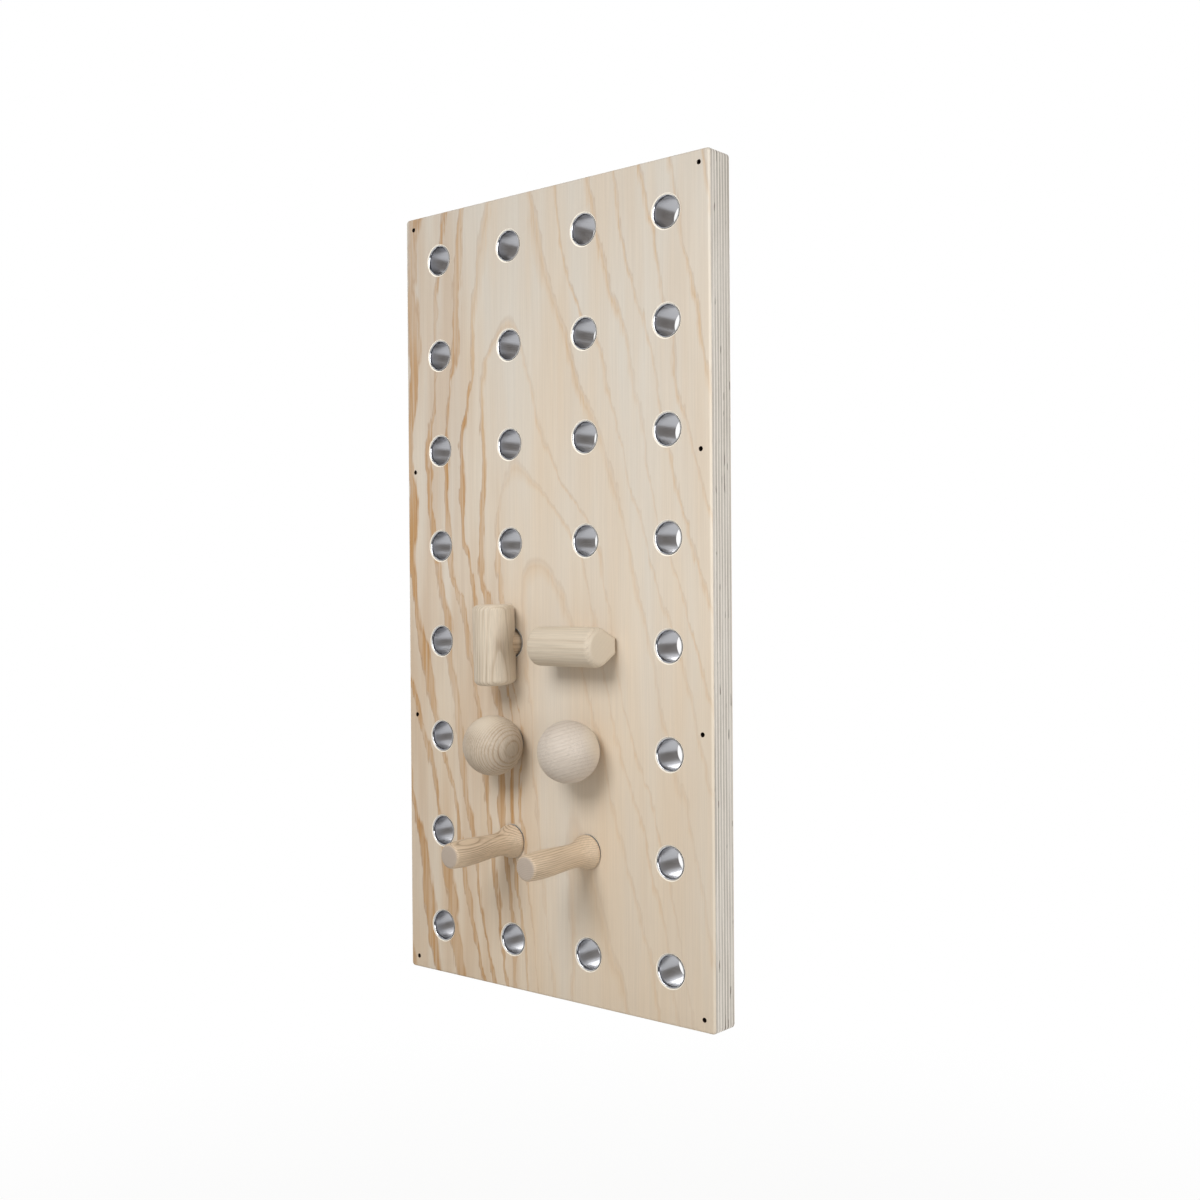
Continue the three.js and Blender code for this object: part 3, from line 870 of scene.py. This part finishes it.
def plywood_material(panel):
    """Rotary-cut pine plywood, sanded and clear lacquered.

    The peeled face veneer gives the eye wide flame-shaped rings: nested arches down the middle and close,
    tan bands outside them. On the edges the cross plies show as darker lines of end grain.
    """
    material, add, place = new_material("rotary_cut_pine_plywood")
    noise = patterns(add, place, PLYWOOD_NOISE)
    x, y, z = add("SeparateXYZ", place).node.outputs
    down = add("MapRange", z, BOARD_HEIGHT / 2, -BOARD_HEIGHT / 2)

    # Knife and growth make every line waver.
    across = x
    for sway in ("drift", "bends", "kinks", "splinters"):
        across = add("ADD", across, noise[sway])
    wood = veneer_colour(add, noise, panel, across, down)

    # The bevel round the peg holes is bare, and paler than the lacquered face. The face is also painted
    # faintly paler along its long edges, next to their rounding.
    off_middle = add("ABSOLUTE", x)
    to_edge = add("SUBTRACT", BOARD_WIDTH / 2, off_middle)
    rounded = add("MapRange", to_edge, panel.edge_round / 2, panel.edge_round, 0.25, 0.0)
    for bare in (bevel_share(add, panel, place), rounded):
        wood = add("Mix", bare, {6: wood, 7: panel.bare_wood}, **BLEND)

    # Plies are counted from the front. The walls of the screw holes are painted dark brown: painted shade
    # deep in the holes.
    ply = add("MapRange", y, board_low.y, board_high.y, 0.0, panel.plies)
    ply = add("MULTIPLY_ADD", noise["waves"], 0.4, ply)
    from_back = add("SUBTRACT", float(panel.plies), ply)
    inside = add("GREATER_THAN", add("MINIMUM", ply, from_back), 1.0)
    for share, over in (
        (inside, ply_colour(add, noise, panel, ply)),
        (in_screw_hole(add, panel, off_middle, z), linear(SCREW_HOLE_SHADE_BROWN)),
    ):
        wood = add("Mix", share, {6: wood, 7: over}, **BLEND)
    relief = add("Bump", {"Strength": 0.12, "Distance": 0.2 * MM, "Height": noise["fibres"]})
    lacquer = {"Base Color": wood, "Normal": relief, "Roughness": 0.5, "Specular IOR Level": 0.3}
    add("OutputMaterial", add("BsdfPrincipled", lacquer))
    return material


def wood_material(name, place, sawn, pale, dark, end):
    """Ash, turned or planed, sanded and left bare.

    It gives the eye growth rings cut at the angle that each blank was sawn, and short dark pores along the
    grain. place is the piece's own frame, and sawn its row of SAWN, in the panel's frame.
    """
    growth, grain, pith, spacing, contrast = sawn
    along = Vector(grain).normalized()
    side = along.cross(Vector(growth)).normalized()
    log = Matrix((side.cross(along), side, along)).transposed()
    material, add, where = new_material(name)
    in_log = add("Mapping", where, place.translation, log.to_euler(), vector_type="TEXTURE")
    noise = patterns(add, in_log, ASH_NOISE)

    # Rings are circles round the pith, each darkest near its outer side.
    spot = add("SeparateXYZ", in_log).node.outputs
    from_pith = add("CombineXYZ", add("ADD", spot["X"], pith), spot["Y"])
    radius = add("VectorMath", from_pith, out="Value", operation="LENGTH")
    grown_out = add("MULTIPLY_ADD", noise["drift"], 6 * MM, radius)
    late = add("ValToRGB", add("FRACT", add("DIVIDE", grown_out, spacing)))
    ramp = late.node.color_ramp
    ramp.interpolation = "B_SPLINE"
    for share, _ in ASH_RING[1:-1]:
        ramp.elements.new(share)
    for element, (_, dark_share) in zip(ramp.elements, ASH_RING):
        element.color = (dark_share, dark_share, dark_share, 1)
    patchy = add("MapRange", noise["patches"], 0.3, 0.7, 0.4 * contrast, 1.3 * contrast)
    late_share = add("MULTIPLY", late, patchy, use_clamp=True)
    ringed = add("Mix", late_share, {6: pale, 7: dark}, **BLEND)
    pore_light = add("MapRange", noise["pores"], 0.3, 0.6, 0.9 - 0.12 * contrast, 1.04)
    wood = add("VectorMath", ringed, {"Scale": pore_light}, operation="SCALE")

    # Where a face cuts across the log, its end grain shows.
    facing = add("VectorMath", add("TexCoord", out="Normal"), along, out="Value", operation="DOT_PRODUCT")
    end_on = add("MapRange", add("ABSOLUTE", facing), 0.7, 1.0, 0.0, 0.8)
    wood = add("Mix", end_on, {6: wood, 7: end}, **BLEND)
    relief = add("Bump", {"Strength": 0.1, "Distance": 0.1 * MM, "Height": noise["pores"]})
    bare = {"Base Color": wood, "Normal": relief, "Roughness": 0.55, "Specular IOR Level": 0.3}
    add("OutputMaterial", add("BsdfPrincipled", bare))
    return material


def aluminium_material(name, metal, scale, detail, smoothest, roughest):
    """Aluminium tube. As drawn, fine lines along its bore blur reflections into soft grey bands.

    Polished, as on the rounded lip, it mirrors the lamps as hard white and black arcs.
    """
    material, add, place = new_material(name)
    noise = patterns(add, place, {"scratches": (0, scale, detail, 0.5, 0.3, 0.7, smoothest, roughest)})
    bare = {"Base Color": metal, "Metallic": 1.0, "Roughness": noise["scratches"]}
    add("OutputMaterial", add("BsdfPrincipled", bare))
    return material


def seen_direct(add):
    """1 for what the camera sees, straight, by reflection or through glass, and 0 for light."""
    path = add("LightPath").node.outputs
    shown = add("MAXIMUM", path["Is Camera Ray"], path["Is Glossy Ray"])
    return add("MAXIMUM", shown, path["Is Transmission Ray"])


def floor_material():
    """Matt studio paint, rolled to a nap of 2.5 mm.

    Near the panel the camera sees the panel's shadow on it, and far off it is pure white.
    """
    material, add, place = new_material("matt_studio_paint")
    nap = add("TexNoise", place, {"Scale": 400.0})
    relief = add("Bump", {"Strength": 0.1, "Distance": 0.2 * MM, "Height": nap})
    paint = add("BsdfPrincipled", {"Base Color": linear(PAINT_WHITE), "Roughness": 0.9, "Normal": relief})
    white = add("Emission", {"Strength": 1.0})
    away = add("VectorMath", place, out="Value", operation="LENGTH")
    lift = add("MapRange", away, 0.4, 3.0, 0.86, 1.0, interpolation_type="SMOOTHSTEP")
    lifted = add("MULTIPLY", seen_direct(add), lift)
    add("OutputMaterial", add("MixShader", lifted, paint, white))
    return material


def card_material(name, hex_colour, glow):
    """A studio card that only the metal sees: flat felt, board or back-lit silk, woven 1 mm apart."""
    material, add, place = new_material(name)
    weave = add("TexNoise", place, {"Scale": 1000.0})
    shade = add("MapRange", weave, 0, 1, 0.95, 1.05)
    cloth = add("VectorMath", linear(hex_colour), {"Scale": shade}, operation="SCALE")
    add("OutputMaterial", add("Emission", cloth, glow))
    return material


def sheet_mesh(name, width, height):
    """A flat rectangle in the XY plane."""
    mesh = bpy.data.meshes.new(name)
    x, y = width / 2, height / 2
    mesh.from_pydata([(-x, -y, 0), (x, -y, 0), (x, y, 0), (-x, y, 0)], [], [(0, 1, 2, 3)])
    return mesh


def stand(name, data, place, target):
    """A lamp, card or camera at a place, with its face or lens to the target."""
    thing = new_object(name, data)
    thing.location = place
    thing.rotation_euler = (Vector(target) - Vector(place)).to_track_quat("-Z", "Y").to_euler()
    return thing


def add_lamp(name, place, target, size, watts):
    """A soft rectangular lamp that the camera doesn't see."""
    light = bpy.data.lights.new(name, "AREA")
    light.shape, light.size, light.size_y, light.energy = "RECTANGLE", *size, watts
    stand(name, light, place, target).visible_camera = False


def add_card(name, place, target, size, material):
    """A card of the studio, dark or lit: only the metal sees it."""
    card = stand(name, sheet_mesh(name, *size), place, target)
    card.data.materials.append(material)
    card.visible_camera = card.visible_diffuse = card.visible_shadow = False


class PEGBOARD_OT_stage(bpy.types.Operator):
    """Set the floor, the backdrop, the lamps and the camera"""

    bl_idname = "pegboard.stage"
    bl_label = "Studio"

    def execute(self, context):
        scene = context.scene
        studio = scene.pegboard_studio
        scene.view_settings.view_transform = "Standard"

        world = bpy.data.worlds.new("white_backdrop")
        world.use_nodes = True
        scene.world = world
        world.node_tree.nodes.clear()
        add = partial(add_node, world.node_tree)
        fill = add("Background", linear(FILL_WHITE), studio.fill)
        white = add("Background", (1, 1, 1), 1.0)
        add("OutputWorld", add("MixShader", seen_direct(add), fill, white))

        floor = new_object("floor", sheet_mesh("floor", FLOOR_SIZE, FLOOR_SIZE))
        floor.location.z = board_low.z - studio.floor_drop
        floor.data.materials.append(floor_material())

        middle = (0, board_low.y, 0)
        for name, place, size, watts in (
            ("key_lamp", studio.key_place, (1.2, 0.9), studio.key_power),
            ("side_lamp", studio.side_place, (0.5, 1.2), studio.side_power),
            ("back_lamp", studio.back_place, (1.2, 1.2), studio.back_power),
        ):
            add_lamp(name, place, middle, size, watts)

        black = card_material("black_flock", "#101010", 0.0)
        brown = card_material("brown_board", "#968f88", 1.0)
        white = card_material("lit_white_silk", "#ffffff", 2.4)
        for name, place, size, material in (
            ("board_behind_panel", (1.75, 1.9, 0.5), (1.9, 2.3), brown),
            ("board_over_panel", (0.25, 0.85, 1.15), (2.2, 0.4), brown),
            ("flock_over_camera", (0.9, -1.1, 2.3), (3.6, 1.5), black),
            ("flock_under_camera", (1.3, -1.5, -0.98), (3.6, 0.9), black),
            ("flock_left_of_panel", (-1.3, -0.2, -1.2), (1.6, 1.0), black),
            ("flock_right_of_panel", (2.03, 1.27, 0.0), (0.45, 3.2), black),
            ("silk_round_camera", (1.95, -1.1, 0.72), (6.0, 2.0), white),
        ):
            add_card(name, place, middle, size, material)

        lens = bpy.data.cameras.new("camera")
        lens.lens, lens.sensor_width = studio.focal_length, SENSOR_MILLIMETRES
        camera = stand("camera", lens, studio.camera_place, studio.camera_target)
        turn = camera.rotation_euler.to_matrix() @ Matrix.Rotation(-studio.camera_roll, 3, "Z")
        camera.rotation_euler = turn.to_euler()
        scene.camera = camera
        return {"FINISHED"}


class PEGBOARD_PT_sidebar(bpy.types.Panel):
    """Lists the pegboard's pieces in the sidebar"""

    bl_label = "Climbing pegboard"
    bl_idname = "PEGBOARD_PT_sidebar"
    bl_space_type = "VIEW_3D"
    bl_region_type = "UI"
    bl_category = "Pegboard"

    def draw(self, context):
        for operator in OPERATORS:
            self.layout.operator(operator.bl_idname)
        for group in SETTINGS:
            box = self.layout.box()
            settings = getattr(context.scene, group)
            for name in settings.bl_rna.properties.keys():
                if name not in ("rna_type", "name"):
                    box.prop(settings, name)


OPERATORS = (
    PEGBOARD_OT_panel,
    PEGBOARD_OT_sleeves,
    PEGBOARD_OT_grip_pegs,
    PEGBOARD_OT_ball_pegs,
    PEGBOARD_OT_straight_pegs,
    PEGBOARD_OT_stage,
)
SETTINGS = {
    "pegboard_panel": PegboardPanelSettings,
    "pegboard_sleeves": PegboardSleeveSettings,
    "pegboard_pegs": PegboardPegSettings,
    "pegboard_studio": PegboardStudioSettings,
}


def register():
    for group, settings in SETTINGS.items():
        bpy.utils.register_class(settings)
        setattr(bpy.types.Scene, group, bpy.props.PointerProperty(type=settings))
    for kind in (*OPERATORS, PEGBOARD_PT_sidebar):
        bpy.utils.register_class(kind)


def unregister():
    for kind in reversed((*OPERATORS, PEGBOARD_PT_sidebar)):
        bpy.utils.unregister_class(kind)
    for group, settings in SETTINGS.items():
        delattr(bpy.types.Scene, group)
        bpy.utils.unregister_class(settings)


def main():
    register()
    bpy.ops.pegboard.panel()
    bpy.ops.pegboard.sleeves()
    bpy.ops.pegboard.grip_pegs()
    bpy.ops.pegboard.ball_pegs()
    bpy.ops.pegboard.straight_pegs()
    bpy.ops.pegboard.stage()


if __name__ == "__main__":
    main()
